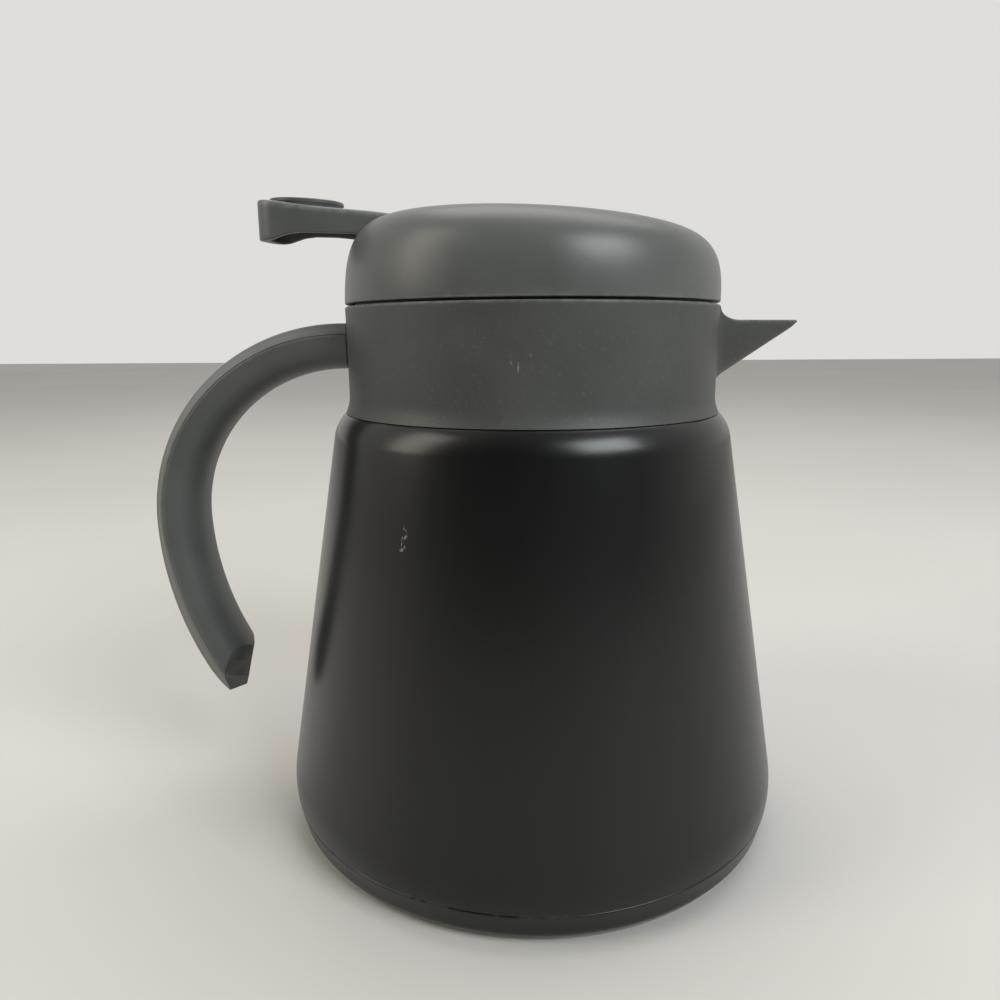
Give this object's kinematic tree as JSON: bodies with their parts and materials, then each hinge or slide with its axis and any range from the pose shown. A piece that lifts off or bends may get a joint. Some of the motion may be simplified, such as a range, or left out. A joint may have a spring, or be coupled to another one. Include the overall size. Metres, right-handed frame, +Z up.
{
  "type": "thermal carafe",
  "caption": "Squat conical vacuum flask with a collar, pouring spout and open handle, and a push-fit domed lid whose thumb lever lifts a spring-closed valve.",
  "frame": {"origin": "centre of the flat underside that the carafe stands on, on the axis of the flask", "axes": "+Z up along the axis of the flask, +X towards the spout, -X towards the handle, +Y across, to the left of a view along +X"},
  "size_m": [0.1733, 0.135, 0.1653],
  "materials": {
    "outer_shell": "satin black paint on steel, lightly scuffed",
    "base_cup": "satin black paint on steel",
    "base_pad": "matte",
    "vacuum_seal": "dull braze",
    "inner_flask": "satin steel",
    "inner_bottom": "satin steel",
    "heat_foil": "bright foil",
    "getter": "sintered, dull",
    "neck_gasket": "soft silicone",
    "collar": "dark grey, fine grain",
    "handle_grip": "dark grey, fine grain",
    "handle_cap": "dark grey, fine grain",
    "handle_screws": "plain steel",
    "lid_cover": "dark grey, satin",
    "lid_base": "dark grey",
    "lid_gasket": "soft silicone",
    "lid_screws": "plain steel",
    "lever_pin": "plain steel",
    "stem_guide": "natural white",
    "stem_seal": "soft silicone",
    "valve_spring": "drawn wire",
    "thumb_lever": "dark grey, satin",
    "thumb_pad": "dark grey, satin",
    "valve_stem": "natural white",
    "lift_collar": "black",
    "stem_clip": "spring steel",
    "valve_disc": "natural white",
    "valve_seal": "soft silicone",
    "seal_clip": "spring steel"
  },
  "bodies": {
    "flask": {"outer_shell": "outer_shell", "base_cup": "base_cup", "base_pad": "base_pad", "vacuum_seal": "vacuum_seal", "inner_flask": "inner_flask", "inner_bottom": "inner_bottom", "heat_foil": "heat_foil", "getter": "getter", "neck_gasket": "neck_gasket", "collar": "collar", "handle_grip": "handle_grip", "handle_cap": "handle_cap", "handle_screws": "handle_screws"},
    "lid": {"lid_cover": "lid_cover", "lid_base": "lid_base", "lid_gasket": "lid_gasket", "lid_screws": "lid_screws", "lever_pin": "lever_pin", "stem_guide": "stem_guide", "stem_seal": "stem_seal", "valve_spring": "valve_spring"},
    "lever": {"thumb_lever": "thumb_lever", "thumb_pad": "thumb_pad"},
    "plunger": {"valve_stem": "valve_stem", "lift_collar": "lift_collar", "stem_clip": "stem_clip", "valve_disc": "valve_disc", "valve_seal": "valve_seal", "seal_clip": "seal_clip"}
  },
  "joints": [
    {"name": "lid_lift", "type": "slide", "parent": "flask", "child": "lid", "axis": [0, 0, 1], "range_m": [0, 0.06]},
    {"name": "thumb_lever_press", "type": "hinge", "parent": "lid", "child": "lever", "pos_m": [-0.036, 0, 0.15], "axis": [0, -1, 0], "range_deg": [0, 12], "stiffness_Nm_per_rad": 0.04, "springref_deg": -11.46},
    {"name": "valve_lift", "type": "slide", "parent": "lid", "child": "plunger", "axis": [0, 0, 1], "range_m": [0, 0.00773], "deforming": ["valve_spring"]}
  ],
  "couplings": [
    {"joint": "thumb_lever_press", "follows": "valve_lift", "rad_per_m": 27.07}
  ]
}
